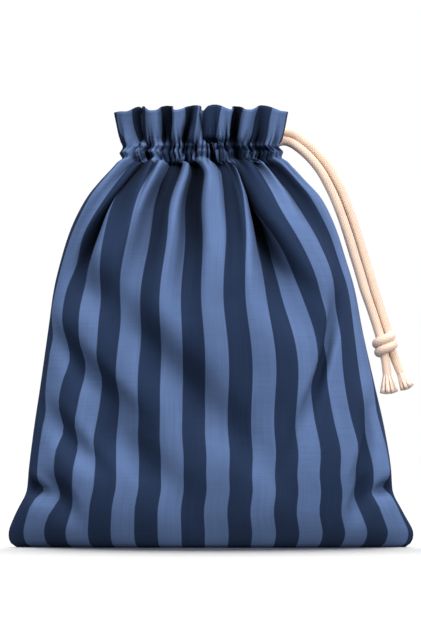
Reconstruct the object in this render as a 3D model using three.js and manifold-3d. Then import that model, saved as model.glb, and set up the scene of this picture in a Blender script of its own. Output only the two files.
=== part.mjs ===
// Striped cotton gift pouch, filled and standing, its neck drawn in by a cotton cord tied at the side.
// Millimetres, +Z up, front towards -Y. The origin lies on the floor under the middle of the pouch.

import * as THREE from 'three';
import { mergeVertices } from 'three/addons/utils/BufferGeometryUtils.js';
import Module from 'manifold-3d';

const wasm = await Module();
wasm.setup();

// Driving dimensions
const CLOTH_WIDTH = 252;
const SHEET = 1.8;
const GAP = 0.3;
const CORD_DIAMETER = 5.6;

// Heights of the drawn-in neck, from the shoulder's end to the rim of the ruffle
const NECK = 240;
const BAND_LOW = 240.5;
const BAND_HIGH = 246.5;
const BAND_MIDDLE = (BAND_LOW + BAND_HIGH) / 2;
const RUFFLE_FOOT = 249;
const RIM_LOW = 270.4;
const RIM_RISE = 3.2;

// How the base narrows to flat corner ears, how high its front stays flat across, and how the front and
// back part above the band
const EAR_HEIGHT = 20;
const FLAT_HEIGHT = 110;
const SLIT = { left: 1.2, right: 4.65, foot: 245.6, full: 248.8 };
const BAND_SWELL = 1.2;

// How finely the cloth is divided: samples of its curves, and columns of its faces
const SAMPLES = 270;
const FINE_COLUMNS = 56;
const COARSE_COLUMNS = 28;
const STEP = CLOTH_WIDTH / SAMPLES;

// Short tables: the names of the columns, then the rows
function table(columns, rows) {
  const names = columns.split(' ');
  return rows.map((row) => Object.fromEntries(names.map((name, i) => [name, row[i]])));
}

// The outline, level by level: how far the cloth reaches left, right and forward of the middle, and how
// much of that depth it keeps at the sides
const LEVELS = table('height left right depth edge', [
  [0, 120.8, 120.8, 22, 1.7], [3.5, 125.2, 124.9, 24, 1.7], [8, 125.8, 125.8, 25.5, 2],
  [20, 121.8, 120.3, 28.5, 4], [36, 114.4, 112.8, 31, 7], [48, 113.3, 112, 32.5, 8.5],
  [73, 110.2, 108, 35.3, 9.5], [100, 106.2, 102, 40.2, 11], [135, 101.3, 94.2, 45.8, 16],
  [160, 97.8, 89.5, 46.4, 20], [180, 93, 83.6, 45, 22], [197, 87.6, 78.2, 42.5, 23],
  [216, 78.2, 69.2, 37, 22], [228, 68.6, 58.5, 32, 20], [235, 61.5, 51.2, 27.8, 18],
  [238.2, 57.6, 47, 24.8, 16.5], [BAND_LOW, 54.2, 43.2, 22, 13.5], [BAND_MIDDLE, 55.4, 43.9, 24.8, 15],
  [BAND_HIGH, 53.6, 41.4, 22, 11], [252, 55.6, 44.2, 22.6, 11], [271, 59.8, 48.2, 25, 10],
]);

// Valleys of the ruffle, in mm of cloth from the left seam: the cloth turns in, then out again. They drift
// sideways on their way up, and the open ones are steeper at the pinched foot.
const RUFFLE_COLUMNS = 'middle width turn tight drift';
const RUFFLE_MIDDLE = 259;
const FOOT = { pinch: 0.3, reach: 5, steepest: 1.5 };
const FRONT_RUFFLE = table(RUFFLE_COLUMNS, [
  [42, 62, 1.1, 0.85, 0], [45.4, 20, 1.4, 0.8, 0], [87.4, 26, 1.4, 1, 0], [113, 18, 1.25, 1, 0.2],
  [147, 50, 1.95, 0.65, -0.45], [199, 26, 1.3, 1, 0], [227.4, 28, 0.6, 1, 0],
]);
const BACK_RUFFLE = table(RUFFLE_COLUMNS, [
  [30, 28, 1.3, 1, 0], [59.4, 28, 1.35, 0.9, 0.2], [101.4, 48, 1.7, 0.6, -0.2], [143.4, 28, 1.3, 1, 0],
  [185.4, 48, 1.7, 0.62, 0.3], [227.4, 28, 1.25, 1, 0],
]);

// Valleys under the band: they hold for some way, then fade, and drift sideways on their way down
const SHOULDER_COLUMNS = 'middle width turn tight hold fade drift';
const FRONT_SHOULDER = table(SHOULDER_COLUMNS, [
  [24, 16, 1.0, 1, 2, 40, -0.1], [42, 36, 1.95, 0.66, 14, 36, -0.12], [86, 34, 1.4, 1, 4, 60, -0.12],
  [112, 32, 1.45, 0.95, 14, 60, 0], [141, 20, 1.35, 1, 0, 55, 0.05], [170, 54, 1.95, 0.7, 16, 52, 0.1],
  [206.4, 12, 0.8, 1, 0, 16, 0.1], [224, 28, 1.2, 0.9, 6, 34, 0.05],
]);
const BACK_SHOULDER = table(SHOULDER_COLUMNS, [
  [31.4, 28, 1.4, 1, 8, 70, -0.2], [59.4, 28, 1.3, 0.9, 0, 58, -0.1], [101.4, 56, 1.75, 0.6, 14, 64, -0.3],
  [128, 14, 0.9, 1, 0, 22, 0], [143.4, 28, 1.4, 0.9, 6, 52, 0], [185.4, 56, 1.75, 0.6, 12, 68, 0.3],
  [227.4, 28, 1.4, 1, 8, 74, 0.1],
]);

// Slanting buckles of the body: where each is strongest, how far it reaches up and down, and its lean
const BODY_COLUMNS = 'middle height width turn reach lean';
const FRONT_BODY = table(BODY_COLUMNS, [
  [45, 107, 44, 0.55, 26, -1.07], [36, 66, 38, 0.5, 18, -0.95], [31, 31, 30, 0.55, 12, -0.8],
  [202, 114, 24, 1.2, 38, 0.46], [230, 60, 26, 0.8, 22, 0.4], [223, 33, 24, 0.8, 12, 0.55],
]);
const BACK_BODY = table(BODY_COLUMNS, [
  [40, 96, 40, 0.65, 28, -0.8], [52, 156, 34, 0.6, 22, 0.7], [214, 88, 38, 0.75, 28, 0.8],
  [200, 140, 34, 0.6, 22, -0.7], [34, 40, 30, 0.6, 14, -0.6],
]);

// Soft dents of the filled cloth: where each lies on the panel, its size, its tilt, how deep it is and how
// far it pushes the cloth sideways
const CREASE_COLUMNS = 'across height length width tilt depth sway';
const FRONT_CREASES = table(CREASE_COLUMNS, [
  [9, 40, 15, 5, -20, 4.5, 0], [243, 40, 14, 5, 18, 4.5, 0], [34, 184, 24, 8, 48, 3, 0],
  [192, 168, 24, 8, -50, 2.5, 0], [100, 112, 76, 13, -46, 8.5, 0], [76, 62, 52, 12, -45, 7, 0],
  [42, 160, 24, 11, -46, 4, 0], [24, 114, 17, 9, -40, 0.8, 3.2], [24, 72, 16, 7, -40, 0.8, 3],
  [24, 29, 15, 7, -40, 0.8, 3.4], [226, 92, 38, 20, 82, 0, -3], [176, 116, 64, 42, 90, 0, 3],
  [196, 133, 18, 14, 90, 0, 2.2], [44, 182, 30, 44, 90, 0, -4.5], [28, 262, 55, 16, 0, 0, -5],
  [222, 262, 34, 16, 0, 0, -4.2],
]);
const BACK_CREASES = table(CREASE_COLUMNS, [
  [9, 40, 14, 5, -18, 3.5, 0], [243, 40, 15, 5, 22, 3.5, 0], [40, 178, 26, 9, 50, 3, 0],
  [206, 170, 28, 9, -46, 3, 0],
]);

// Scallops of the rim
const BUMP_COLUMNS = 'middle width rise';
const FRONT_BUMPS = table(BUMP_COLUMNS, [
  [32, 24, 1], [60, 22, 1], [87.4, 26, 1], [119, 34, 0.9], [137, 10, -0.6], [163, 10, -0.6],
  [173, 26, 0.9], [199, 24, 0.8], [227.4, 28, 1],
]);
const BACK_BUMPS = table(BUMP_COLUMNS, [
  [30, 26, 1], [59.4, 24, 0.8], [92, 20, 0.9], [112, 20, 0.9], [143.4, 24, 1], [176, 20, 0.8], [196, 20, 0.9],
  [227.4, 26, 1],
]);

// Bounds of the folds: the steepest turn, the greatest depth at the neck, in the body and in the band, and
// how far a ridge may rise above the smooth outline
const STEEPEST = 1.4;
const FOLD_DEPTH = { neck: 13, body: 18, growth: 0.1, lessInBand: 5, ridge: 2 };
const FOLD_ROUNDING = 4;
const FADING_RATE = 0.7;

// How far the band's influence reaches under and over it, and how far in from a seam the cloth stays straight
const BAND_MARGIN = { under: 4, over: 5 };
const SEAM_MARGIN = 10;

// Forms of the oval: how square its front is at the top and at the base, how much its ears thin out, and
// how square its sides are
const OVAL = { crown: 2.2, squarer: 1.8, ears: 0.8, sides: 12 };
const SCALLOP_POWER = 1.5;

// The floor of the pouch lifts its inner face up to this height
const FLOOR_REACH = 40;

const PANELS = [
  {
    name: 'front_panel', facing: -1, ruffle: FRONT_RUFFLE, shoulder: FRONT_SHOULDER, body: FRONT_BODY,
    creases: FRONT_CREASES, bumps: FRONT_BUMPS,
  },
  {
    name: 'back_panel', facing: 1, ruffle: BACK_RUFFLE, shoulder: BACK_SHOULDER, body: BACK_BODY,
    creases: BACK_CREASES, bumps: BACK_BUMPS,
  },
];

// Levels of the rows of faces, coarse in the body and fine from the shoulder up
const BODY_ROWS = [
  0, 3.5, 8, 14, 21, 28, 36, 44, 52, 60, 68, 76, 84, 92, 100, 108, 116, 124, 132, 141, 150, 160, 170,
];
const SHOULDER_ROWS = [180, 190, 199, 207, 214, 220, 226, 231, 235.5, 238.2, BAND_LOW, BAND_MIDDLE, BAND_HIGH];
const RUFFLE_SHARES = [0, 0.3, 0.65, 1];
const BASE_SHARES = [0, 0.5];

// The two runs of cord that show, from the inside of the band, out at the right slit and down to the knot
const FRONT_RUN = [
  [26.5, -1.9, 236.5], [29, -1.9, 241.5], [32.3, -1.9, 246], [37.5, -1.8, 250], [44.3, -1.5, 252.5],
  [49.8, -1.5, 251.4], [55.8, -1.6, 247.4], [62.1, -1.8, 241.5], [68.5, -2, 233.3], [75, -2.1, 221.1],
  [80.3, -2.1, 208.4], [84.6, -2, 195.7], [88.5, -1.9, 182.9], [92.4, -1.8, 170.2], [95.4, -1.7, 159.9],
  [98.8, -1.6, 150.3], [102, -1.6, 140.8], [105.2, -1.6, 130.5],
];
const BACK_RUN = [
  [22.5, 2, 239], [25.8, 2.2, 245], [30.2, 2.4, 250.6], [36.4, 2.15, 255.8], [44.3, 1.6, 258.3],
  [50.4, 1.5, 257], [56.4, 1.5, 253.4], [62.8, 1.6, 248.4], [69, 1.8, 242], [75.2, 2, 233.2],
  [81.6, 2.1, 221.1], [86.6, 2.1, 208.4], [91, 2, 195.7], [94.9, 1.9, 182.9], [98.8, 1.8, 170.2],
  [101.8, 1.7, 159.9], [104.9, 1.6, 150.3], [107.9, 1.6, 140.8], [111.4, 1.6, 130.5],
];
const RUN_STEPS = 26;
const RUN_SIDES = 10;

// The knot: two turns of the cord around both runs, leaning with them, and their spacing in strand widths
const KNOT = { x: 108.2, y: 0, z: 126.2, lean: 20, ring: 4.9, strand: 2.85, spacing: 0.98 };
const KNOT_FACES = { strand: 8, ring: 20, middleRound: 14, middleUp: 10 };

// The two ends below the knot, each fraying into a tuft of locks
const TAILS = [
  { name: 'tail_left', path: [[107, -1.6, 123], [108.6, -1.6, 115], [109.6, -1.6, 106.4]], flare: 5.4, length: 11.4 },
  { name: 'tail_right', path: [[112.2, 1.6, 124], [114.8, 1.6, 116], [118.2, 1.6, 108.2]], flare: 4.4, length: 11 },
];
const TAIL_RADIUS = 2.6;
const TAIL_STEPS = 6;
const LOCK_RINGS = [
  { count: 6, start: 0.7, reach: 0.4, drop: 1 },
  { count: 12, start: 1.7, reach: 1, drop: 0.92 },
];
const LOCK = { root: 1.05, tip: 0.6, sides: 4, overlap: 1.2, turn: 0.25 };

// Corners nearer than this are one corner
const SAME_CORNER = { cloth: 1e-3, cord: 1e-4 };

// A smooth reading of a table between its levels, without overshoot
function smooth(table, column, height) {
  const last = table.length - 1;
  const level = THREE.MathUtils.clamp(height, table[0].height, table[last].height);
  let k = 0;
  while (k < last - 1 && level > table[k + 1].height) k += 1;
  const slope = (i) => (table[i + 1][column] - table[i][column]) / (table[i + 1].height - table[i].height);
  const tangent = (i) => {
    if (i === 0) return slope(0);
    if (i === last) return slope(last - 1);
    const before = slope(i - 1);
    const after = slope(i);
    return before * after <= 0 ? 0 : (2 * before * after) / (before + after);
  };
  const span = table[k + 1].height - table[k].height;
  const t = (level - table[k].height) / span;
  const rise = table[k + 1][column] - table[k][column];
  const startTurn = span * tangent(k);
  const endTurn = span * tangent(k + 1);
  return table[k][column] + t * (startTurn + t * (3 * rise - 2 * startTurn - endTurn
    + t * (startTurn + endTurn - 2 * rise)));
}

// One half of the smooth oval at a level, as points with the length along it and the outward normal
function oval(height) {
  const left = smooth(LEVELS, 'left', height);
  const right = smooth(LEVELS, 'right', height);
  const depth = smooth(LEVELS, 'depth', height);
  const edge = smooth(LEVELS, 'edge', height);
  const crown = OVAL.crown + OVAL.squarer * Math.exp(-((height / FLAT_HEIGHT) ** 2));
  const taper = 1 + OVAL.ears * Math.exp(-height / EAR_HEIGHT);
  const points = [];
  for (let i = 0; i <= SAMPLES; i += 1) {
    const across = Math.sin(Math.PI * (i / SAMPLES - 0.5));
    const bell = Math.max(0, 1 - Math.abs(across) ** crown) ** taper;
    const slab = Math.sqrt(Math.max(0, 1 - across ** OVAL.sides));
    const x = (right - left) / 2 + ((left + right) / 2) * across;
    points.push({ x, out: (depth - edge) * bell + edge * slab, run: 0 });
  }
  for (let i = 1; i <= SAMPLES; i += 1) {
    const run = Math.hypot(points[i].x - points[i - 1].x, points[i].out - points[i - 1].out);
    points[i].run = points[i - 1].run + run;
  }
  return points;
}

// The place on the oval at a given length along it
function along(points, run) {
  let k = 1;
  while (k < SAMPLES && points[k].run < run) k += 1;
  const a = points[k - 1];
  const b = points[k];
  const t = (run - a.run) / (b.run - a.run);
  const length = b.run - a.run;
  return {
    x: a.x + (b.x - a.x) * t,
    out: a.out + (b.out - a.out) * t,
    normalX: -(b.out - a.out) / length,
    normalOut: (b.x - a.x) / length,
  };
}

// The turn of the cloth over one valley: inward on its left, outward on its right
function valleyTurn(across, middle, width, turn, tight) {
  const share = THREE.MathUtils.clamp((2 * (across - middle)) / width, -1, 1);
  return turn * Math.sign(share) * Math.sin(Math.PI * Math.abs(share) ** tight);
}

function ruffleAngle(panel, across, height) {
  const pinch = 1 + FOOT.pinch * Math.exp(-Math.max(0, height - RUFFLE_FOOT) / FOOT.reach);
  let angle = 0;
  for (const row of panel.ruffle) {
    const steeper = Math.min(pinch, Math.max(1, FOOT.steepest / row.turn));
    const middle = row.middle + row.drift * (height - RUFFLE_MIDDLE);
    angle += steeper * valleyTurn(across, middle, row.width, row.turn, row.tight);
  }
  return angle;
}

function bodyAngle(panel, across, height) {
  const below = Math.max(0, NECK - height);
  let angle = 0;
  for (const row of panel.shoulder) {
    const fading = Math.exp(-FADING_RATE * (Math.max(0, below - row.hold) / row.fade) ** 2);
    angle += fading * valleyTurn(across, row.middle + row.drift * below, row.width, row.turn, row.tight);
  }
  for (const row of panel.body) {
    const up = height - row.height;
    const fading = Math.exp(-((up / row.reach) ** 2));
    angle += fading * valleyTurn(across, row.middle + row.lean * up, row.width, row.turn, 1);
  }
  return angle;
}

// Cloth laid along its turns: the share of the way round and the depth of the folds after each step
function laid(angleAt) {
  const forward = [0];
  const sunk = [0];
  for (let i = 1; i <= SAMPLES; i += 1) {
    const angle = THREE.MathUtils.clamp(angleAt((i - 0.5) * STEP), -STEEPEST, STEEPEST);
    forward.push(forward[i - 1] + Math.cos(angle));
    sunk.push(sunk[i - 1] - Math.sin(angle) * STEP);
  }
  return forward.map((steps, i) => ({
    share: steps / forward[SAMPLES],
    sunk: sunk[i] - (sunk[SAMPLES] * i) / SAMPLES,
  }));
}

// How far a level has come into the band from below, and out of it above
function bandShares(height) {
  return {
    intoBand: THREE.MathUtils.smoothstep(height, BAND_LOW - BAND_MARGIN.under, BAND_LOW),
    outOfBand: THREE.MathUtils.smoothstep(height, BAND_HIGH, BAND_HIGH + BAND_MARGIN.over),
  };
}

// Valleys flatten out before they would fill the inside
function limitedDepth(depth, height) {
  const { neck, body, growth, lessInBand, ridge } = FOLD_DEPTH;
  const { intoBand, outOfBand } = bandShares(height);
  const room = THREE.MathUtils.clamp(neck + growth * (NECK - height), neck, body);
  const limit = room - lessInBand * intoBand * (1 - outOfBand);
  const bounded = Math.max(-ridge, depth);
  return bounded / (1 + (Math.abs(bounded) / limit) ** FOLD_ROUNDING) ** (1 / FOLD_ROUNDING);
}

function creaseAt(panel, across, height) {
  const total = { depth: 0, sway: 0 };
  for (const crease of panel.creases) {
    const turn = THREE.MathUtils.degToRad(crease.tilt);
    const right = across - crease.across;
    const up = height - crease.height;
    const lengthwise = (right * Math.cos(turn) + up * Math.sin(turn)) / crease.length;
    const sideways = (up * Math.cos(turn) - right * Math.sin(turn)) / crease.width;
    const bell = Math.exp(-(lengthwise ** 2 + sideways ** 2));
    total.depth += crease.depth * bell;
    total.sway += crease.sway * bell;
  }
  return total;
}

// The cloth's outer line at a level: the oval with its folds and dents. The band holds the middle between
// the folds of the shoulder and those of the ruffle.
function outline(panel, height) {
  const base = oval(height);
  const low = laid((across) => bodyAngle(panel, across, height));
  const high = laid((across) => ruffleAngle(panel, across, height));
  const { intoBand, outOfBand } = bandShares(height);
  const above = (intoBand + outOfBand) / 2;
  const round = base[SAMPLES].run;
  return low.map((point, i) => {
    const share = point.share + above * (high[i].share - point.share);
    const sunk = point.sunk + above * (high[i].sunk - point.sunk);
    const across = i * STEP;
    const fromSeam = Math.min(across, CLOTH_WIDTH - across);
    const free = THREE.MathUtils.smoothstep(fromSeam, 0, SEAM_MARGIN);
    const crease = creaseAt(panel, across, height);
    const place = along(base, THREE.MathUtils.clamp(share * round + crease.sway * free, 0, round));
    const inward = limitedDepth(sunk, height) + crease.depth * free;
    return { x: place.x - inward * place.normalX, out: Math.max(0, place.out - inward * place.normalOut) };
  });
}

// The same line moved inward by the cloth's thickness
function insetLine(line, thickness) {
  return line.map((point, i) => {
    const a = line[Math.max(0, i - 1)];
    const b = line[Math.min(SAMPLES, i + 1)];
    const length = Math.hypot(b.x - a.x, b.out - a.out);
    return {
      x: point.x + (thickness * (b.out - a.out)) / length,
      out: point.out - (thickness * (b.x - a.x)) / length,
    };
  });
}

function between(line, index) {
  const k = Math.min(Math.floor(index), line.length - 2);
  const t = index - k;
  return {
    x: line[k].x + (line[k + 1].x - line[k].x) * t,
    out: line[k].out + (line[k + 1].out - line[k].out) * t,
  };
}

// Where the inset line leaves the seam plane, counted in samples from one end
function seamCrossing(line) {
  let k = 0;
  while (line[k].out <= 0) k += 1;
  if (k === 0) return 0;
  return k - line[k].out / (line[k].out - line[k - 1].out);
}

// One row of the panel's outer or inner face
function faceRow(panel, height, columns, inner) {
  const line = outline(panel, height);
  const swell = BAND_SWELL * Math.max(0, 1 - Math.abs(height - BAND_MIDDLE) / (BAND_HIGH - BAND_MIDDLE));
  const inset = inner ? insetLine(line, SHEET + swell) : line;
  const start = inner ? seamCrossing(inset) : 0;
  const end = inner ? SAMPLES - seamCrossing([...inset].reverse()) : SAMPLES;
  const row = [];
  for (let j = 0; j <= columns; j += 1) {
    const point = between(inset, start + ((end - start) * j) / columns);
    const atSeam = j === 0 || j === columns;
    row.push({ x: point.x, out: atSeam ? 0 : point.out, across: (CLOTH_WIDTH * j) / columns, z: height });
  }
  return row;
}

function rimHeight(panel, across) {
  let rim = RIM_LOW;
  for (const bump of panel.bumps) {
    const share = THREE.MathUtils.clamp((across - bump.middle) / bump.width, -0.5, 0.5);
    rim += RIM_RISE * bump.rise * Math.max(0, Math.cos(Math.PI * share)) ** SCALLOP_POWER;
  }
  return rim;
}

// All rows of one face: out from the bottom seam, up the body and the neck, to the rim
function faceRows(panel, inner) {
  const floor = inner ? SHEET : 0;
  const lifted = (height) => height + floor * Math.max(0, 1 - height / FLOOR_REACH);
  const rows = [];
  const foot = faceRow(panel, lifted(0), COARSE_COLUMNS, inner);
  for (const share of BASE_SHARES) {
    rows.push(foot.map((p) => ({ ...p, out: p.out * share })));
  }
  for (const height of BODY_ROWS) {
    rows.push(faceRow(panel, lifted(height), COARSE_COLUMNS, inner));
  }
  for (const height of SHOULDER_ROWS) {
    rows.push(faceRow(panel, height, FINE_COLUMNS, inner));
  }
  for (const share of RUFFLE_SHARES) {
    const level = RUFFLE_FOOT + share * (RIM_LOW - RUFFLE_FOOT);
    const row = faceRow(panel, level, FINE_COLUMNS, inner);
    for (const p of row) {
      p.z = RUFFLE_FOOT + share * (rimHeight(panel, p.across) - RUFFLE_FOOT);
    }
    rows.push(row);
  }
  return rows.map((row) => row.map((p) => placed(panel, p)));
}

// From the panel's own measures to the pouch's frame
function placed(panel, point) {
  const share = point.across / CLOTH_WIDTH;
  const parted = THREE.MathUtils.smoothstep(point.z, SLIT.foot, SLIT.full);
  const slit = parted * (SLIT.left + (SLIT.right - SLIT.left) * share);
  return new THREE.Vector3(point.x, panel.facing * (GAP / 2 + slit + point.out), point.z);
}

// Faces between two rows. Their diagonals lean like the folds: up to the left in the left half, else to
// the right.
function stitch(lower, upper, add) {
  if (lower.length === upper.length) {
    for (let j = 0; j + 1 < lower.length; j += 1) {
      const inLeftHalf = 2 * j < lower.length - 1;
      add(lower[j], lower[j + 1], inLeftHalf ? upper[j] : upper[j + 1]);
      add(inLeftHalf ? lower[j + 1] : lower[j], upper[j + 1], upper[j]);
    }
    return;
  }
  for (let j = 0; j + 1 < lower.length; j += 1) {
    add(lower[j], upper[2 * j + 1], upper[2 * j]);
    add(lower[j], lower[j + 1], upper[2 * j + 1]);
    add(lower[j + 1], upper[2 * j + 2], upper[2 * j + 1]);
  }
}

// A closed geometry from triangles, with shared corners merged and collapsed triangles left out
function closedGeometry(triangles) {
  const loose = new THREE.BufferGeometry().setFromPoints(triangles.flat());
  const merged = mergeVertices(loose, SAME_CORNER.cloth);
  const index = merged.index.array;
  const kept = [];
  for (let i = 0; i < index.length; i += 3) {
    const [a, b, c] = [index[i], index[i + 1], index[i + 2]];
    if (a !== b && b !== c && c !== a) kept.push(a, b, c);
  }
  merged.setIndex(kept);
  return merged;
}

function panelGeometry(panel) {
  const outer = faceRows(panel, false);
  const inner = faceRows(panel, true);
  const triangles = [];
  const outward = (a, b, c) => triangles.push(panel.facing < 0 ? [a, b, c] : [a, c, b]);
  const inward = (a, b, c) => outward(a, c, b);
  const last = outer.length - 1;
  for (let i = 0; i < last; i += 1) {
    stitch(outer[i], outer[i + 1], outward);
    stitch(inner[i], inner[i + 1], inward);
    const leftEdge = [[outer[i][0], inner[i][0]], [outer[i + 1][0], inner[i + 1][0]]];
    const rightEdge = [[inner[i].at(-1), outer[i].at(-1)], [inner[i + 1].at(-1), outer[i + 1].at(-1)]];
    stitch(leftEdge[0], leftEdge[1], inward);
    stitch(rightEdge[0], rightEdge[1], inward);
  }
  stitch(outer[0], inner[0], inward);
  stitch(outer[last], inner[last], outward);
  return closedGeometry(triangles);
}

function solidOf(geometry) {
  const bare = geometry.clone();
  bare.deleteAttribute('normal');
  bare.deleteAttribute('uv');
  const merged = mergeVertices(bare, SAME_CORNER.cord);
  const mesh = new wasm.Mesh({
    numProp: 3,
    vertProperties: new Float32Array(merged.attributes.position.array),
    triVerts: new Uint32Array(merged.index.array),
  });
  return new wasm.Manifold(mesh);
}

function geometryOf(solid) {
  const mesh = solid.getMesh();
  const geometry = new THREE.BufferGeometry();
  geometry.setAttribute('position', new THREE.BufferAttribute(new Float32Array(mesh.vertProperties), 3));
  geometry.setIndex(new THREE.BufferAttribute(new Uint32Array(mesh.triVerts), 1));
  return geometry;
}

const curveThrough = (points) => new THREE.CatmullRomCurve3(points.map((p) => new THREE.Vector3(...p)));

function tube(path, radius, steps, sides) {
  const section = new THREE.Shape();
  for (let i = 0; i < sides; i += 1) {
    const angle = (2 * Math.PI * i) / sides;
    const corner = [radius * Math.cos(angle), radius * Math.sin(angle)];
    if (i === 0) section.moveTo(...corner);
    else section.lineTo(...corner);
  }
  section.closePath();
  return new THREE.ExtrudeGeometry(section, { steps, bevelEnabled: false, extrudePath: curveThrough(path) });
}

// The knot's two turns around a filled middle, each grown by a clearance where others are cut back
function knotSolid(clearance) {
  const turn = (side) => {
    const strand = KNOT.strand + clearance;
    const geometry = new THREE.TorusGeometry(KNOT.ring, strand, KNOT_FACES.strand, KNOT_FACES.ring);
    geometry.translate(0, 0, side * KNOT.strand * KNOT.spacing);
    return solidOf(geometry);
  };
  const middle = new THREE.SphereGeometry(KNOT.ring + clearance, KNOT_FACES.middleRound, KNOT_FACES.middleUp);
  const joined = turn(-1).add(turn(1)).add(solidOf(middle));
  const geometry = geometryOf(joined);
  geometry.rotateY(THREE.MathUtils.degToRad(-KNOT.lean));
  geometry.translate(KNOT.x, KNOT.y, KNOT.z);
  return solidOf(geometry);
}

// One lock of frayed cotton from its root to its tip
function lockSolid(root, tip) {
  const span = new THREE.Vector3().subVectors(tip, root);
  const geometry = new THREE.CylinderGeometry(LOCK.tip, LOCK.root, span.length(), LOCK.sides);
  const turn = new THREE.Quaternion().setFromUnitVectors(new THREE.Vector3(0, 1, 0), span.clone().normalize());
  geometry.applyQuaternion(turn);
  const middle = new THREE.Vector3().addVectors(root, tip).multiplyScalar(0.5);
  geometry.translate(middle.x, middle.y, middle.z);
  return solidOf(geometry);
}

function tailSolid(tail) {
  const curve = curveThrough(tail.path);
  const end = curve.getPoint(1);
  const down = curve.getTangent(1);
  const front = new THREE.Vector3(0, -1, 0);
  const side = new THREE.Vector3().crossVectors(down, front).normalize();
  const depth = new THREE.Vector3().crossVectors(side, down).normalize();
  let solid = solidOf(tube(tail.path, TAIL_RADIUS, TAIL_STEPS, RUN_SIDES));
  for (const ring of LOCK_RINGS) {
    for (let i = 0; i < ring.count; i += 1) {
      const angle = (2 * Math.PI * (i + LOCK.turn)) / ring.count;
      const spoke = side.clone().multiplyScalar(Math.cos(angle)).addScaledVector(depth, Math.sin(angle));
      const root = end.clone().addScaledVector(spoke, ring.start).addScaledVector(down, -LOCK.overlap);
      const tip = end.clone().addScaledVector(spoke, ring.reach * tail.flare);
      tip.addScaledVector(down, tail.length * ring.drop);
      solid = solid.add(lockSolid(root, tip));
    }
  }
  return solid;
}

const BLUE_CLOTH = 0x43598c;
const CREAM_CORD = 0xecd9bf;
const COTTON_ROUGHNESS = 0.85;

function namedMesh(name, geometry, color) {
  geometry.computeVertexNormals();
  const cotton = new THREE.MeshStandardMaterial({ color, roughness: COTTON_ROUGHNESS, metalness: 0 });
  const mesh = new THREE.Mesh(geometry, cotton);
  mesh.name = name;
  return mesh;
}

const pouch = new THREE.Group();
for (const panel of PANELS) {
  pouch.add(namedMesh(panel.name, panelGeometry(panel), BLUE_CLOTH));
}

const room = knotSolid(GAP);
const runs = [['cord_front', FRONT_RUN], ['cord_back', BACK_RUN]];
for (const [name, points] of runs) {
  const solid = solidOf(tube(points, CORD_DIAMETER / 2, RUN_STEPS, RUN_SIDES)).subtract(room);
  pouch.add(namedMesh(name, geometryOf(solid), CREAM_CORD));
}
pouch.add(namedMesh('cord_knot', geometryOf(knotSolid(0)), CREAM_CORD));
for (const tail of TAILS) {
  pouch.add(namedMesh(tail.name, geometryOf(tailSolid(tail).subtract(room)), CREAM_CORD));
}

export default pouch;
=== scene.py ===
# %% [markdown]
# # A drawstring gift pouch in striped cotton
# This lesson dresses a packed model of a filled gift pouch: two striped panels sewn together, a neck
# gathered into a narrow band with a ruffle above it, and a cotton cord tied at the right.
# The packed model is the fixed frame. It is loaded first, because every piece below has to lie where
# its plain solid lies, in the same metres.

# %% Load the frame
import math

import bpy
import numpy as np
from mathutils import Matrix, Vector


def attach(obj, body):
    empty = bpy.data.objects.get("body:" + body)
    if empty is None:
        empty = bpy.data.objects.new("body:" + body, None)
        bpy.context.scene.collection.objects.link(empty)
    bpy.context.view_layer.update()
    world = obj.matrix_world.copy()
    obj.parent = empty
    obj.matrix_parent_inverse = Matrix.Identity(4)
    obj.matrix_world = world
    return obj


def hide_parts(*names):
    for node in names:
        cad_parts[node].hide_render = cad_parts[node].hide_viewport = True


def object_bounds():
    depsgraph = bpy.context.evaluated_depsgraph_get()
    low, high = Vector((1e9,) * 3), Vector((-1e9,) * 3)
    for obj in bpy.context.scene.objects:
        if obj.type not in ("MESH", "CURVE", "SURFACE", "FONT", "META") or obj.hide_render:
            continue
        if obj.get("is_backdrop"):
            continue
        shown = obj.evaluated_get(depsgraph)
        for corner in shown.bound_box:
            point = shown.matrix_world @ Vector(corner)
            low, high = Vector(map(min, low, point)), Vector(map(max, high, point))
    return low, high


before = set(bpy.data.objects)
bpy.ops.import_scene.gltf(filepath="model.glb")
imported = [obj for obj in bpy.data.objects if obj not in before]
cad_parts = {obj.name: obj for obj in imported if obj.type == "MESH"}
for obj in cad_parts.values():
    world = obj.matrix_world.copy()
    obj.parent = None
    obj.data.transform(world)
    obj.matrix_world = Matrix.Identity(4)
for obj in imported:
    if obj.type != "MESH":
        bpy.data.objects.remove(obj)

cad_box = [list(corner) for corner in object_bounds()]
MM = 0.001
print("nodes:", sorted(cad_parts))
print("box in mm:", [[round(v / MM, 1) for v in corner] for corner in cad_box])

# %% [markdown]
# ## The camera
# The pouch stands upright and is seen straight from the front, from low down: its bottom edge is a
# straight line, and nothing shows inside the mouth. A long lens from a few metres away gives that flat
# view. The lens follows from the distance and from the size that one pixel of the picture has on the pouch.

# %% Set up the camera
PICTURE_HEIGHT = 631
PICTURE_PIXEL = 0.622 * MM
VIEW_MIDDLE = Vector((-0.0003, 0.0, 0.1439))
CAMERA_DISTANCE = 2.6
CAMERA_HEIGHT = 0.06
SENSOR = 36.0

lens_data = bpy.data.cameras.new("front_camera")
lens_data.sensor_fit = "VERTICAL"
lens_data.sensor_height = SENSOR
lens_data.lens = SENSOR * CAMERA_DISTANCE / (PICTURE_HEIGHT * PICTURE_PIXEL)
camera = bpy.data.objects.new("front_camera", lens_data)
camera.location = (VIEW_MIDDLE.x, -CAMERA_DISTANCE, CAMERA_HEIGHT)
camera.rotation_euler = (VIEW_MIDDLE - camera.location).to_track_quat("-Z", "Y").to_euler()
bpy.context.scene.collection.objects.link(camera)
bpy.context.scene.camera = camera
print("lens:", round(lens_data.lens, 1), "mm")

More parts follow.
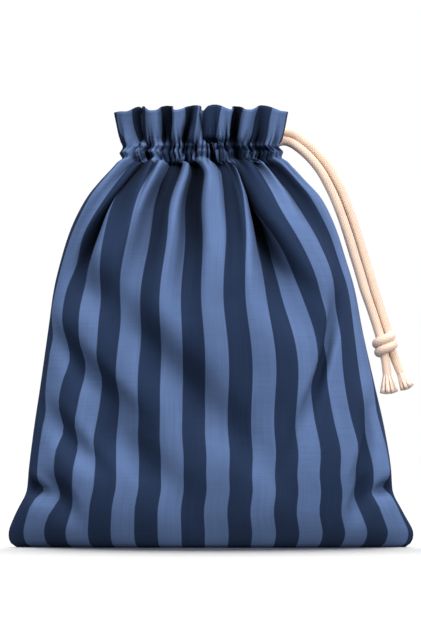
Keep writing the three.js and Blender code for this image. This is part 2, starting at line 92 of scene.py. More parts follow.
# %% [markdown]
# ## Meshes from grids
# Nearly every piece here is a grid of points: rings along a cord, or rows up a cloth. One helper turns
# such a grid into a mesh. It can close the grid round a tube, cap the tube's ends, and carry named
# values per point, which the materials read later.

# %% A mesh from a grid of points
def grid_faces(rows, columns, around):
    """Faces of a grid of points numbered row by row, closed sideways if around."""
    right = np.arange(columns) if around else np.arange(columns - 1)
    low = np.arange(rows - 1)[:, None] * columns
    next_right = (right + 1) % columns
    corners = [low + right, low + next_right, low + columns + next_right, low + columns + right]
    return np.stack(corners, axis=-1).reshape(-1, 4)


def new_piece(name, points, faces, values):
    """A smooth-shaded object from points in metres, faces and named values per point."""
    mesh = bpy.data.meshes.new(name)
    mesh.from_pydata(points.tolist(), [], faces)
    for label, numbers in values.items():
        layer = mesh.attributes.new(label, "FLOAT", "POINT")
        layer.data.foreach_set("value", np.asarray(numbers, np.float32).ravel())
    mesh.polygons.foreach_set("use_smooth", np.ones(len(mesh.polygons), bool))
    mesh.update()
    piece = bpy.data.objects.new(name, mesh)
    bpy.context.scene.collection.objects.link(piece)
    print(name, "has", len(mesh.vertices), "points")
    return piece


def tube_faces(rings, sides, first=0):
    """Faces of a closed tube with flat caps, its points numbered from first on."""
    walls = (grid_faces(rings, sides, True) + first).tolist()
    start = list(range(first + sides - 1, first - 1, -1))
    end = list(range(first + (rings - 1) * sides, first + rings * sides))
    return walls + [start, end]

# %% [markdown]
# ## The cord's route
# The cord is about 5.6 mm thick. Two runs of it come out of the band's right end, rise over the edge of
# the ruffle and fall side by side to a knot. Both are seen from end to end, so their lengths are read off.
# The points are the same as in the plain solids. A curve through them is walked in even steps, and a
# frame is carried along it without twist, so that the braid doesn't swirl.

# %% Route points of the two runs
CORD_DIAMETER = 0.0056
CURVE_STEPS = 24
FRONT_RUN = [
    (0.0265, -0.0019, 0.2365), (0.029, -0.0019, 0.2415), (0.0323, -0.0019, 0.246),
    (0.0375, -0.0018, 0.25), (0.0443, -0.0015, 0.2525), (0.0498, -0.0015, 0.2514),
    (0.0558, -0.0016, 0.2474), (0.0621, -0.0018, 0.2415), (0.0685, -0.002, 0.2333),
    (0.075, -0.0021, 0.2211), (0.0803, -0.0021, 0.2084), (0.0846, -0.002, 0.1957),
    (0.0885, -0.0019, 0.1829), (0.0924, -0.0018, 0.1702), (0.0954, -0.0017, 0.1599),
    (0.0988, -0.0016, 0.1503), (0.102, -0.0016, 0.1408), (0.1052, -0.0016, 0.1305),
]
BACK_RUN = [
    (0.0225, 0.002, 0.239), (0.0258, 0.0022, 0.245), (0.0302, 0.0024, 0.2506), (0.0364, 0.00215, 0.2558),
    (0.0443, 0.0016, 0.2583), (0.0504, 0.0015, 0.257), (0.0564, 0.0015, 0.2534), (0.0628, 0.0016, 0.2484),
    (0.069, 0.0018, 0.242), (0.0752, 0.002, 0.2332), (0.0816, 0.0021, 0.2211), (0.0866, 0.0021, 0.2084),
    (0.091, 0.002, 0.1957), (0.0949, 0.0019, 0.1829), (0.0988, 0.0018, 0.1702), (0.1018, 0.0017, 0.1599),
    (0.1049, 0.0016, 0.1503), (0.1079, 0.0016, 0.1408), (0.1114, 0.0016, 0.1305),
]


def run_length(points):
    """The length walked up to each point of a line."""
    return np.concatenate([[0], np.cumsum(np.linalg.norm(np.diff(points, axis=0), axis=1))])


def walk(points, step):
    """Points at even steps along a smooth curve through the given ones, and the length up to each."""
    knots = np.array(points, float)
    ends = np.vstack([2 * knots[0] - knots[1], knots, 2 * knots[-1] - knots[-2]])
    share = np.linspace(0, 1, CURVE_STEPS, endpoint=False)[:, None]
    pieces = []
    for a, b, c, d in zip(ends, ends[1:], ends[2:], ends[3:]):
        bend = 2 * a - 5 * b + 4 * c - d
        twist = 3 * b - a - 3 * c + d
        pieces.append(0.5 * (2 * b + (c - a) * share + bend * share ** 2 + twist * share ** 3))
    dense = np.vstack(pieces + [knots[-1:]])
    length = run_length(dense)
    even = np.linspace(0, length[-1], max(2, round(length[-1] / step) + 1))
    return np.stack([np.interp(even, length, dense[:, i]) for i in range(3)], axis=1), even


def carried_frame(route):
    """Two sideways directions at each point of a route, carried along it without twist."""
    ahead = np.gradient(route, axis=0)
    ahead /= np.linalg.norm(ahead, axis=1, keepdims=True)
    side = np.zeros_like(route)
    seed = np.cross(ahead[0], (0.0, 1.0, 0.0))
    side[0] = seed / np.linalg.norm(seed)
    for i in range(1, len(route)):
        moved = side[i - 1] - np.dot(side[i - 1], ahead[i]) * ahead[i]
        side[i] = moved / np.linalg.norm(moved)
    return side, np.cross(ahead, side)


for label, run in (("front run", FRONT_RUN), ("back run", BACK_RUN)):
    print(label, "is", round(walk(run, MM)[1][-1] / MM, 1), "mm long")

# %% [markdown]
# ## The braid
# The cord is braided: strands wind to the left and to the right, over and under each other, and leave
# small slanting pads on its surface. A bump map would show that in a picture only, so the pads are real
# relief here. Two sets of slanted lines cut the surface into diamonds, and in each diamond one set lies
# on top. The relief is also kept as a value per point, to paint shade into the grooves.

# %% Braided tubes
BRAID_STRANDS = 8
BRAID_PITCH = 0.0155
BRAID_RELIEF, BRAID_MEAN, BRAID_DIP = 0.26 * MM, 0.6, 0.35
CORD_SIDES = 64
CORD_STEP = 0.42 * MM


def braid(turn, length):
    """Height of the braid, 0 to 1, at a turn round the cord and a length along it."""
    left = BRAID_STRANDS * (turn - length / BRAID_PITCH)
    right = BRAID_STRANDS * (turn + length / BRAID_PITCH)
    left_on_top = (np.floor(left) + np.floor(right)) % 2 == 0
    across_left = np.sin(np.pi * (left % 1))
    across_right = np.sin(np.pi * (right % 1))
    over = np.where(left_on_top, across_left, across_right)
    under = np.where(left_on_top, across_right, across_left)
    return np.sqrt(over) * (BRAID_DIP + (1 - BRAID_DIP) * np.sqrt(under))


def braided_tube(route, length, radius):
    """Points and relief of a braided tube along a route; radius may differ from ring to ring."""
    side, lift = carried_frame(route)
    turn = np.arange(CORD_SIDES) / CORD_SIDES
    relief = braid(turn[None, :], length[:, None])
    swell = (relief - BRAID_MEAN) * BRAID_RELIEF
    reach = (np.broadcast_to(radius, len(route))[:, None] + swell)[..., None]
    spoke = (np.cos(2 * np.pi * turn)[None, :, None] * side[:, None]
             + np.sin(2 * np.pi * turn)[None, :, None] * lift[:, None])
    return route[:, None] + reach * spoke, relief


def braided_piece(name, points, radius):
    """A length of braided cord through the given points, with its route and the length along it."""
    route, length = walk(points, CORD_STEP)
    tube, relief = braided_tube(route, length, radius)
    values = {"relief": relief, "along": np.repeat(length / MM, CORD_SIDES)}
    return new_piece(name, tube.reshape(-1, 3), tube_faces(len(route), CORD_SIDES), values), route, length[-1]


front_run, front_route, front_length = braided_piece("front_run", FRONT_RUN, CORD_DIAMETER / 2)
back_run, back_route, back_length = braided_piece("back_run", BACK_RUN, CORD_DIAMETER / 2)

# %% [markdown]
# ## The knot
# Both runs end in one fat knot: two turns of the same cord, pulled tight and rising to the right. It could
# be two rings, but a real turn climbs, so the knot is a short coil of two turns whose ends tuck into the
# middle. A round core fills the middle, where the runs pass through.

# %% Tie the knot
KNOT_MIDDLE = np.array((0.1082, 0.0, 0.1262))
KNOT_LEAN = math.radians(14)
KNOT_RING = 0.0049
KNOT_STRAND = 0.0029
KNOT_TURNS, KNOT_STEPS, KNOT_CLIMB = 2.3, 150, 0.94
KNOT_TUCK, TUCKED_RING, TUCKED_STRAND = 0.22, 0.45, 0.9
CORE_RINGS, CORE_SIDES, CORE_POLE, CORE_SHADE_RELIEF = 14, 24, 0.08, 0.2


def leaned(points):
    """Points of the knot's own frame, leaned to the right and put in place."""
    lean = np.array([[math.cos(KNOT_LEAN), 0, -math.sin(KNOT_LEAN)], [0, 1, 0],
                     [math.sin(KNOT_LEAN), 0, math.cos(KNOT_LEAN)]])
    return points @ lean.T + KNOT_MIDDLE


def knot_coil():
    """Points and relief of the knot's coil of cord, and the length along it."""
    turn = np.linspace(-KNOT_TURNS / 2, KNOT_TURNS / 2, KNOT_STEPS)
    tuck = np.clip((KNOT_TURNS / 2 - np.abs(turn)) / KNOT_TUCK, 0, 1)
    ring = KNOT_RING * (TUCKED_RING + (1 - TUCKED_RING) * tuck * (2 - tuck))
    angle = 2 * np.pi * turn + np.pi / 2
    climb = 2 * KNOT_STRAND * KNOT_CLIMB * turn
    route = leaned(np.stack([ring * np.cos(angle), ring * np.sin(angle), climb], axis=1))
    length = run_length(route)
    radius = KNOT_STRAND * (TUCKED_STRAND + (1 - TUCKED_STRAND) * tuck)
    return braided_tube(route, length, radius) + (length,)


def knot_core():
    """A round core, as rings from pole to pole, with its faces."""
    polar = np.linspace(CORE_POLE, np.pi - CORE_POLE, CORE_RINGS)[:, None]
    turn = (2 * np.pi * np.arange(CORE_SIDES) / CORE_SIDES)[None, :]
    ball = np.stack([np.sin(polar) * np.cos(turn), np.sin(polar) * np.sin(turn),
                     np.cos(polar) + 0 * turn], axis=-1)
    return leaned(ball.reshape(-1, 3) * KNOT_RING), tube_faces(CORE_RINGS, CORE_SIDES)


coil, coil_relief, coil_length = knot_coil()
core, core_faces = knot_core()
coil_points = coil.reshape(-1, 3)
knot_faces = tube_faces(len(coil), CORD_SIDES)
knot_faces += [[corner + len(coil_points) for corner in face] for face in core_faces]
# The core's low relief gives it the darker groove colour, painted shade inside the knot
knot = new_piece("cord_knot_tied", np.vstack([coil_points, core]), knot_faces, {
    "relief": np.concatenate([coil_relief.ravel(), np.full(len(core), CORE_SHADE_RELIEF)]),
    "along": np.concatenate([np.repeat(coil_length / MM, CORD_SIDES), np.zeros(len(core))]),
})

# %% [markdown]
# ## The two ends
# Below the knot each run ends in a short tail that frays into a tuft, cut off cleanly at the bottom. The
# tail is the same braided tube. The tuft could be hair particles, but those leave no mesh, so it is a
# bundle of thin tapered yarns. They lie in a few locks with grooves between them, and spread like a brush.

# %% Braid the tails and fray their ends
TAILS = {
    "left_tail": {
        "node": "tail_left", "flare": 0.0057, "length": 0.0116,
        "route": [(0.1065, -0.0014, 0.1262), (0.1076, -0.0016, 0.12), (0.1086, -0.0016, 0.115),
                  (0.1096, -0.0016, 0.1064)],
    },
    "right_tail": {
        "node": "tail_right", "flare": 0.0046, "length": 0.0112,
        "route": [(0.1108, 0.0014, 0.1272), (0.1126, 0.0016, 0.1225), (0.1148, 0.0016, 0.116),
                  (0.1182, 0.0016, 0.1082)],
    },
}
TAIL_RADIUS = 0.0027
YARNS, YARN_RINGS, YARN_SIDES = 170, 7, 5
YARN_RADIUS, YARN_ROOT, YARN_SWAY = 0.42 * MM, 2 * MM, 0.16 * MM
YARN_SIZES, YARN_CUTS, YARN_TAPER, YARN_STRAY = (0.85, 1.2), (0.955, 1.0), 0.3, 0.05
LOCKS, LOCK_PULL = 9, 0.55
TUFT_NECK, TUFT_CURVE, TUFT_ROUNDING = 0.74, 1.05, 0.1
GOLDEN_ANGLE = 2.39996


def tuft(name, end, down, flare, length, chance):
    """A brush of tapered yarns from the end of a tail, in locks, cut to one rounded line."""
    side = np.cross(down, (0.0, -1.0, 0.0))
    side /= np.linalg.norm(side)
    depth = np.cross(side, down)
    points, faces, relief = [], [], []
    share = np.linspace(0, 1, YARN_RINGS)
    corner = 2 * np.pi * np.arange(YARN_SIDES) / YARN_SIDES
    ring = np.cos(corner)[None, :, None] * side + np.sin(corner)[None, :, None] * depth
    neck = TAIL_RADIUS * TUFT_NECK
    spread = neck + (flare - neck) * share ** TUFT_CURVE
    for i in range(YARNS):
        out = math.sqrt((i + 0.5) / YARNS)
        angle = GOLDEN_ANGLE * i
        lock = (np.round(angle * LOCKS / (2 * np.pi)) * 2 * np.pi) / LOCKS
        angle += LOCK_PULL * ((lock - angle + np.pi) % (2 * np.pi) - np.pi) + chance.normal(0, YARN_STRAY)
        spoke = math.cos(angle) * side + math.sin(angle) * depth
        sway = chance.normal(0, YARN_SWAY, 2)
        reach = length * (1 - TUFT_ROUNDING * out ** 2) * chance.uniform(*YARN_CUTS)
        drop = share * (reach + YARN_ROOT) - YARN_ROOT
        line = (end + out * spread[:, None] * spoke + drop[:, None] * down
                + np.sin(np.pi * share)[:, None] * (sway[0] * side + sway[1] * depth))
        size = YARN_RADIUS * (1 - YARN_TAPER * share ** 2) * chance.uniform(*YARN_SIZES)
        faces += tube_faces(YARN_RINGS, YARN_SIDES, len(points) * YARN_RINGS * YARN_SIDES)
        points.append(line[:, None] + size[:, None, None] * ring)
        relief.append(np.full(YARN_RINGS * YARN_SIDES, chance.uniform(0, 1)))
    return new_piece(name, np.concatenate(points).reshape(-1, 3), faces, {
        "relief": np.concatenate(relief), "along": np.tile(np.repeat(share, YARN_SIDES), YARNS),
    })


chance = np.random.default_rng(seed=7)
for name, tail in TAILS.items():
    tail["piece"], route, _ = braided_piece(name, tail["route"], TAIL_RADIUS)
    down = (route[-1] - route[-3]) / np.linalg.norm(route[-1] - route[-3])
    tail["tuft"] = tuft(name + "_tuft", route[-1], down, tail["flare"], tail["length"], chance)

# %% [markdown]
# ## The filled pouch, level by level
# Two panels of cloth, each 252 mm wide, are sewn together at the sides and along the bottom. The filling
# rounds them out, and the neck draws them in. A cloth simulation could find such a shape, but not these
# very folds. So the shape is written down: at each height, how far the pouch reaches left, right and
# forward, in millimetres. A smooth reading between the levels never overshoots.

# %% The outline of the pouch
BAND_LOW, BAND_HIGH = 240.5, 248.5
LEVEL_COLUMNS = ("height", "left", "right", "depth", "edge")
LEVELS = dict(zip(LEVEL_COLUMNS, np.array([
    (0, 120.8, 120.8, 22, 1.7), (3.5, 125.2, 124.9, 24, 1.7), (8, 125.8, 125.8, 25.5, 2),
    (20, 121.8, 120.3, 28.5, 4), (36, 114.4, 112.8, 31, 7), (48, 113.3, 112, 32.5, 8.5),
    (73, 110.2, 108, 35.3, 9.5), (100, 106.2, 102, 40.2, 11), (135, 101.3, 94.2, 45.8, 16),
    (160, 97.8, 89.5, 46.4, 20), (180, 93, 83.6, 45, 22), (197, 87.6, 78.2, 42.5, 23),
    (216, 78.2, 69.2, 37, 22), (228, 68.6, 58.5, 32, 20), (235, 61.5, 51.2, 27.8, 18),
    (238.2, 57.6, 47, 24.8, 16.5), (BAND_LOW, 54.2, 43.2, 22, 13.5), (244.6, 55.6, 43.9, 23, 15),
    (BAND_HIGH, 53.8, 41.8, 20.8, 11), (253, 55.8, 44.4, 22.7, 11), (271, 59.8, 48.2, 25, 10),
]).T))


def smooth(column, height):
    """One column of the levels at a height, on a curve that keeps between its neighbours."""
    level, value = LEVELS["height"], LEVELS[column]
    slope = np.diff(value) / np.diff(level)
    before, after = slope[:-1], slope[1:]
    same_way = before * after > 0
    inner = np.where(same_way, 2 * before * after / np.where(same_way, before + after, 1), 0)
    tangent = np.concatenate([slope[:1], inner, slope[-1:]])
    k = int(np.clip(np.searchsorted(level, height) - 1, 0, len(slope) - 1))
    span = level[k + 1] - level[k]
    t = np.clip((height - level[k]) / span, 0, 1)
    rise = value[k + 1] - value[k]
    start, end = span * tangent[k], span * tangent[k + 1]
    return value[k] + t * (start + t * (3 * rise - 2 * start - end + t * (start + end - 2 * rise)))


print("reach at mid height:", round(smooth("left", 120), 1), round(smooth("right", 120), 1), "mm")

# %% [markdown]
# ## The folds of the neck
# The cord gathers the cloth, so its folds are deep at the neck and die out down the body. Each is a valley
# with a row of its own, because no two are alike: a tight one closes on itself, and a drift moves it
# sideways on its way down. The ruffle has other valleys than the shoulder, because the band parts the two.

# %% Folds of both panels, in mm of cloth from the left seam
CLOTH_WIDTH = 252.0
# Ruffle: middle, width, turn, tightness, drift
# Shoulder: middle, width, turn, tightness, how far it holds and then fades, drift
# Body: middle, height, width, turn, reach up and down, lean
FRONT_RUFFLE = [
    (42, 62, 1.1, 0.85, 0), (45.4, 20, 1.4, 0.8, 0), (87.4, 26, 1.4, 1, 0), (113, 18, 1.25, 1, 0.2),
    (147, 50, 1.95, 0.65, -0.45), (199, 26, 1.3, 1, 0), (227.4, 28, 0.6, 1, 0),
]
FRONT_SHOULDER = [
    (24, 16, 1.0, 1, 2, 40, -0.1), (42, 36, 1.95, 0.66, 14, 36, -0.12), (86, 34, 1.4, 1, 4, 60, -0.12),
    (112, 32, 1.45, 0.95, 14, 60, 0), (141, 20, 1.35, 1, 0, 55, 0.05), (170, 54, 1.95, 0.7, 16, 52, 0.1),
    (206.4, 12, 0.8, 1, 0, 16, 0.1), (224, 28, 1.2, 0.9, 6, 34, 0.05),
]
FRONT_BODY = [
    (45, 107, 44, 0.55, 26, -1.07), (36, 66, 38, 0.5, 18, -0.95), (31, 31, 30, 0.55, 12, -0.8),
    (202, 114, 24, 1.2, 38, 0.46), (230, 60, 26, 0.8, 22, 0.4), (223, 33, 24, 0.8, 12, 0.55),
]
BACK_RUFFLE = [
    (30, 28, 1.3, 1, 0), (59.4, 28, 1.35, 0.9, 0.2), (101.4, 48, 1.7, 0.6, -0.2), (143.4, 28, 1.3, 1, 0),
    (185.4, 48, 1.7, 0.62, 0.3), (227.4, 28, 1.25, 1, 0),
]
BACK_SHOULDER = [
    (31.4, 28, 1.4, 1, 8, 70, -0.2), (59.4, 28, 1.3, 0.9, 0, 58, -0.1), (101.4, 56, 1.75, 0.6, 14, 64, -0.3),
    (128, 14, 0.9, 1, 0, 22, 0), (143.4, 28, 1.4, 0.9, 6, 52, 0), (185.4, 56, 1.75, 0.6, 12, 68, 0.3),
    (227.4, 28, 1.4, 1, 8, 74, 0.1),
]
BACK_BODY = [
    (40, 96, 40, 0.65, 28, -0.8), (52, 156, 34, 0.6, 22, 0.7), (214, 88, 38, 0.75, 28, 0.8),
    (200, 140, 34, 0.6, 22, -0.7), (34, 40, 30, 0.6, 14, -0.6),
]
for side, folds in (("in front", FRONT_SHOULDER), ("behind", BACK_SHOULDER)):
    print("valleys under the band", side, len(folds))

# %% [markdown]
# ## How the cloth turns
# A valley could be a dent in the outline, but a dent stretches the cloth. So it is told by how far the cloth
# turns as one walks along it: in, then out again. Even steps keep the cloth's own width, and the stripes
# crowd on the flanks and hide in the deep folds, as on the real pouch.

# %% The turn of the cloth over its folds
NECK, RUFFLE_FOOT, RUFFLE_MIDDLE = 240.0, 250.2, 259.0
FOOT_PINCH, PINCH_REACH, STEEPEST = 0.3, 5.0, 1.5
FADE_RATE = 0.7


def smoothstep(value, low, high):
    """A soft step, 0 up to low and 1 from high on."""
    t = np.clip((value - low) / (high - low), 0, 1)
    return t * t * (3 - 2 * t)


def valley(across, middle, width, turn, tight):
    """The turn of the cloth over one valley: inward on its left, outward on its right."""
    share = np.clip(2 * (across - middle) / width, -1, 1)
    return turn * np.sign(share) * np.sin(np.pi * np.abs(share) ** tight)


def ruffle_angle(panel, across, height):
    """How far the ruffle's cloth turns from the smooth outline, in radians; most at its pinched foot."""
    pinch = 1 + FOOT_PINCH * math.exp(-max(0.0, height - RUFFLE_FOOT) / PINCH_REACH)
    angle = np.zeros_like(across)
    for middle, width, turn, tight, drift in panel["ruffle"]:
        steeper = min(pinch, max(1.0, STEEPEST / turn))
        angle += steeper * valley(across, middle + drift * (height - RUFFLE_MIDDLE), width, turn, tight)
    return angle


def body_angle(panel, across, height):
    """The same for the shoulder and the body under it, where the folds fade."""
    below = max(0.0, NECK - height)
    angle = np.zeros_like(across)
    for middle, width, turn, tight, hold, fade, drift in panel["shoulder"]:
        fading = math.exp(-FADE_RATE * (max(0.0, below - hold) / fade) ** 2)
        angle += fading * valley(across, middle + drift * below, width, turn, tight)
    for middle, level, width, turn, reach, lean in panel["body"]:
        fading = math.exp(-((height - level) / reach) ** 2)
        angle += fading * valley(across, middle + lean * (height - level), width, turn, 1)
    return angle


cloth_places = np.linspace(0, CLOTH_WIDTH, 400)
turned = ruffle_angle({"ruffle": FRONT_RUFFLE}, cloth_places, RUFFLE_MIDDLE)
print("steepest turn of the front ruffle:", round(math.degrees(np.abs(turned).max())), "degrees")

# %% [markdown]
# ## Creases
# The filled body isn't smooth either. Drag folds slant over it, short creases pinch it above the base
# corners, the flanks of the big shoulder folds are dented, and some stripes just sway. They could be
# sculpted, but a row is easier to change: each is a long soft bell that dents the cloth or shifts it.

# %% Creases of both panels, in mm
# Place across and up, length, width, tilt in degrees, depth, sideways sway
FRONT_CREASES = [
    (6, 37, 14, 4, -20, 7, 0), (246, 37, 13, 4, 18, 7, 0), (34, 184, 24, 8, 48, 3, 0),
    (192, 168, 24, 8, -50, 2.5, 0), (100, 112, 76, 13, -46, 8.5, 0), (76, 62, 52, 12, -45, 7, 0),
    (42, 160, 24, 11, -46, 4, 0), (24, 114, 17, 9, -40, 0.8, 3.2), (24, 72, 16, 7, -40, 0.8, 3),
    (24, 29, 15, 7, -40, 0.8, 3.4), (226, 92, 38, 20, 82, 0, -2.4), (246, 80, 15, 9, 84, 0, -4.6),
    (176, 116, 64, 42, 90, 0, 3), (196, 133, 18, 14, 90, 0, 2.2), (44, 182, 30, 44, 90, 0, -4.5),
    (126, 239, 20, 5, 0, 0, -4), (105, 229, 45, 15, 0, 0, 2.6), (193, 222, 24, 8, 90, 5.5, 0),
    (57, 222, 24, 7, 90, 5, 0), (28, 262, 55, 16, 0, 0, -5), (222, 262, 34, 16, 0, 0, -4.2),
]
BACK_CREASES = [
    (9, 40, 14, 5, -18, 3.5, 0), (243, 40, 15, 5, 22, 3.5, 0), (40, 178, 26, 9, 50, 3, 0),
    (206, 170, 28, 9, -46, 3, 0),
]


def crease_fields(creases, across, height):
    """Depth and sideways sway of all creases along one level, in mm."""
    depth_sum, sway_sum = np.zeros_like(across), np.zeros_like(across)
    for middle, level, length, width, tilt, depth, sway in creases:
        lean = math.radians(tilt)
        right, up = across - middle, height - level
        lengthwise = (right * math.cos(lean) + up * math.sin(lean)) / length
        sideways = (up * math.cos(lean) - right * math.sin(lean)) / width
        bell = np.exp(-(lengthwise ** 2 + sideways ** 2))
        depth_sum += depth * bell
        sway_sum += sway * bell
    return depth_sum, sway_sum


print("creases:", len(FRONT_CREASES), "in front,", len(BACK_CREASES), "behind")

# %% [markdown]
# ## Gathers and pleats
# Around the band the drawn cord packs narrow gathers side by side, and short pleats fan out from them. They
# could be sculpted one by one, but all are ridges of one kind, so uneven waves make them. Slow, small waves
# make the rest of the cloth as uneven as a pouch that was filled by hand.

# %% Gathers, pleats and unevenness, in mm
RIDGE_SUNK = 0.7
GATHER_WIDTH, GATHER_DEPTH, GATHER_ROUND = 3.3, 4.4, 1.1
# Waves: size, length, how often the panel's seed shifts them
GATHER_WANDER = [(1.6, 9.7, 1), (1, 4.1, 2)]
GATHER_SLANT = [(0.15, 6.3, 4)]
GATHER_BELOW, GATHER_ABOVE, GATHER_FADE = 3.2, 5.6, 1.5
PLEAT_WIDTH, PLEAT_DEPTH, PLEAT_ROUND = 8.6, 5.0, 0.8
PLEAT_WANDER = [(1.5, 7.3, 2), (1, 3.1, 1)]
PLEAT_REACH, PLEAT_ABOVE, PLEAT_FADE = 21.0, 1.7, 1.3
GATHER_UNEVEN, PLEAT_UNEVEN = (0.3, 3.7), (0.38, 5.3)
PUFF, PUFF_ACROSS, PUFF_UP = 0.55, 13, 17
RIPPLE, RIPPLE_ACROSS, RIPPLE_UP = 0.4, 8.1, 23
SMOOTH_FOOT = (4, 40)


def waves(place, seed, rows):
    """The sum of a table's waves along the cloth, each shifted by its own turn of the panel's seed."""
    return sum(size * np.sin(place / length + turn * seed) for size, length, turn in rows)


def uneven(place, share, length, shift):
    """A slow change along the cloth, from 1 down by twice the share and back."""
    return 1 - share + share * np.sin(place / length + shift)


def ridges(place, width, roundness):
    """Round ridges with pinches between them, sunk so that they lie about the cloth's own level."""
    return np.abs(np.sin(np.pi * place / width)) ** roundness - RIDGE_SUNK


def gathers(place, height, seed):
    """The band's narrow gathers, in mm outward, which fade soon below and above it."""
    under, over = max(0.0, BAND_LOW - height), max(0.0, height - BAND_HIGH)
    fading = math.exp(-(under / GATHER_BELOW) ** GATHER_FADE - (over / GATHER_ABOVE) ** GATHER_FADE)
    slant = waves(place, seed, GATHER_SLANT) * (height - BAND_LOW)
    shifted = place + waves(place, seed, GATHER_WANDER) + slant
    size = GATHER_DEPTH * fading * uneven(place, *GATHER_UNEVEN, 3 * seed)
    return size * ridges(shifted, GATHER_WIDTH, GATHER_ROUND)


def pleats(place, height, seed):
    """Short folds that fan out from the band into the shoulders and the ruffle's foot, in mm outward."""
    away = max(0.0, BAND_LOW - height) + PLEAT_ABOVE * max(0.0, height - BAND_HIGH)
    reach = PLEAT_REACH * uneven(place, *PLEAT_UNEVEN, seed)
    shifted = place + waves(place, seed, PLEAT_WANDER)
    return PLEAT_DEPTH * ridges(shifted, PLEAT_WIDTH, PLEAT_ROUND) * np.exp(-(away / reach) ** PLEAT_FADE)


def unevenness(across, height, seed):
    """Soft waves of hand-filled cloth, in mm outward, none at the floor."""
    puffs = PUFF * math.sin(height / PUFF_UP + seed) * np.sin(across / PUFF_ACROSS + 2 * seed)
    ripples = RIPPLE * np.sin(across / RIPPLE_ACROSS + height / RIPPLE_UP + seed)
    return (puffs + ripples) * smoothstep(height, *SMOOTH_FOOT)


swell = gathers(cloth_places / 2, BAND_LOW, 0)
print("gathers from", round(float(swell.min()), 1), "to", round(float(swell.max()), 1), "mm")

# %% [markdown]
# ## The smooth outline and the walk along it
# Seen from above, each half of the pouch is half an oval with flat ears where the panels are sewn together.
# A squashed circle would do for one height, but the oval changes all the way up, so a formula takes its
# sizes from the levels. A second helper lays the cloth along its turns.

# %% The smooth outline at a height
EAR_HEIGHT, EAR_TAPER, EAR_CORNER = 20.0, 0.8, 12
CROWN, BASE_CROWN, CROWN_FADE = 2.2, 1.8, 110.0
OVAL_POINTS, WALK = 700, 1400


def oval(height):
    """Half of the smooth outline at a height: x and outward places, and the length along it."""
    left, right, depth, edge = (smooth(column, height) for column in ("left", "right", "depth", "edge"))
    crown = CROWN + BASE_CROWN * math.exp(-(height / CROWN_FADE) ** 2)
    taper = 1 + EAR_TAPER * math.exp(-height / EAR_HEIGHT)
    share = np.sin(np.pi * (np.linspace(0, 1, OVAL_POINTS) - 0.5))
    out = ((depth - edge) * np.maximum(0, 1 - np.abs(share) ** crown) ** taper
           + edge * np.sqrt(np.maximum(0, 1 - share ** EAR_CORNER)))
    x = (right - left) / 2 + (left + right) / 2 * share
    return x, out, run_length(np.stack([x, out], axis=1))


def laid(angle):
    """Cloth laid along its turns: the share of the way round and the depth of the folds after each step."""
    forward = np.concatenate([[0], np.cumsum(np.cos(angle))])
    sunk = np.concatenate([[0], np.cumsum(-np.sin(angle))]) * CLOTH_WIDTH / WALK
    return forward / forward[-1], sunk - sunk[-1] * np.linspace(0, 1, WALK + 1)


print("way round one half at mid height:", round(float(oval(120)[2][-1])), "mm")

# %% [markdown]
# ## Shade in the hollows
# Folded cloth is dark between its folds, because little light gets in. A render finds only a part of that
# by itself. So each point also gets a hollowness, how much of the room its neighbours hide, and the cotton
# is darkened by it later: most at the neck, less on the band.

# %% Shade in the hollows
SIDEWAYS, UPRIGHT = (1, 2, 3.5, 5, 8, 12, 18), (1, 2, 3.5, 5)
HOLLOW_GRID = 500
BAND_FOOT, BAND_TOP = 4.0, 5.0
BODY_SHADE, NECK_SHADE, BAND_SHADE = 0.35, 0.75, 0.3
SHADE_SPAN = (110, 205)


def hollowness(place, inward, reaches):
    """How much of the room its neighbours hide from each point: 0 on a ridge, near 1 in a deep fold."""
    grid = np.linspace(0, place.max(), HOLLOW_GRID)
    top = np.full(len(grid), -np.inf)
    np.maximum.at(top, np.searchsorted(grid, place), -inward)
    filled = np.isfinite(top)
    top = np.interp(grid, grid[filled], top[filled])
    hidden = np.zeros_like(place)
    for side in (-1, 1):
        slope = np.zeros_like(place)
        for reach in reaches:
            slope = np.maximum(slope, (np.interp(place + side * reach, grid, top) + inward) / reach)
        hidden += 0.5 * slope / np.hypot(1, slope)
    return hidden


def band_steps(height):
    """Two soft steps: into the band from below, and out of it at its top."""
    into = smoothstep(height, BAND_LOW - BAND_FOOT, BAND_LOW)
    return into, smoothstep(height, BAND_HIGH, BAND_HIGH + BAND_TOP)


def in_band(height):
    """1 on the band, 0 below and above it."""
    into, out_of = band_steps(height)
    return into * (1 - out_of)


def fold_shade(height):
    """How dark the hollows are at a height."""
    return BODY_SHADE + NECK_SHADE * smoothstep(height, *SHADE_SPAN) - BAND_SHADE * in_band(height)


for height in (60, 230, 245):
    print("shade at", height, "mm:", round(float(fold_shade(height)), 2))

# %% [markdown]
# ## One line of cloth at a height
# Now the parts come together. The cloth walks along the smooth outline, sinks into its valleys and creases,
# and is rippled by gathers and pleats along the outline's normal. On the band the folds of shoulder and
# ruffle blend and stay shallow, because the cord holds the cloth, and near the seams all calms down.

# %% The cloth's line at one height
FIRM_EDGE, HEM_EDGE = 10.0, 5.0
NECK_FOLD, BODY_FOLD, FOLD_GROWTH, BAND_HOLD = 13.0, 18.0, 0.1, 9.5
RIDGE_RISE = 2.0
BAND_ROUND = 125.0
CREASE_SHADE = 0.035
PANELS = {
    "front_cloth": {
        "node": "front_panel", "facing": -1, "seed": 0.4, "ruffle": FRONT_RUFFLE,
        "shoulder": FRONT_SHOULDER, "body": FRONT_BODY, "creases": FRONT_CREASES,
    },
    "back_cloth": {
        "node": "back_panel", "facing": 1, "seed": 1.9, "ruffle": BACK_RUFFLE,
        "shoulder": BACK_SHOULDER, "body": BACK_BODY, "creases": BACK_CREASES,
    },
}


def kept_within(depth, limit):
    """Depths eased toward a limit that they never pass."""
    return depth / (1 + (np.abs(depth) / limit) ** 4) ** 0.25


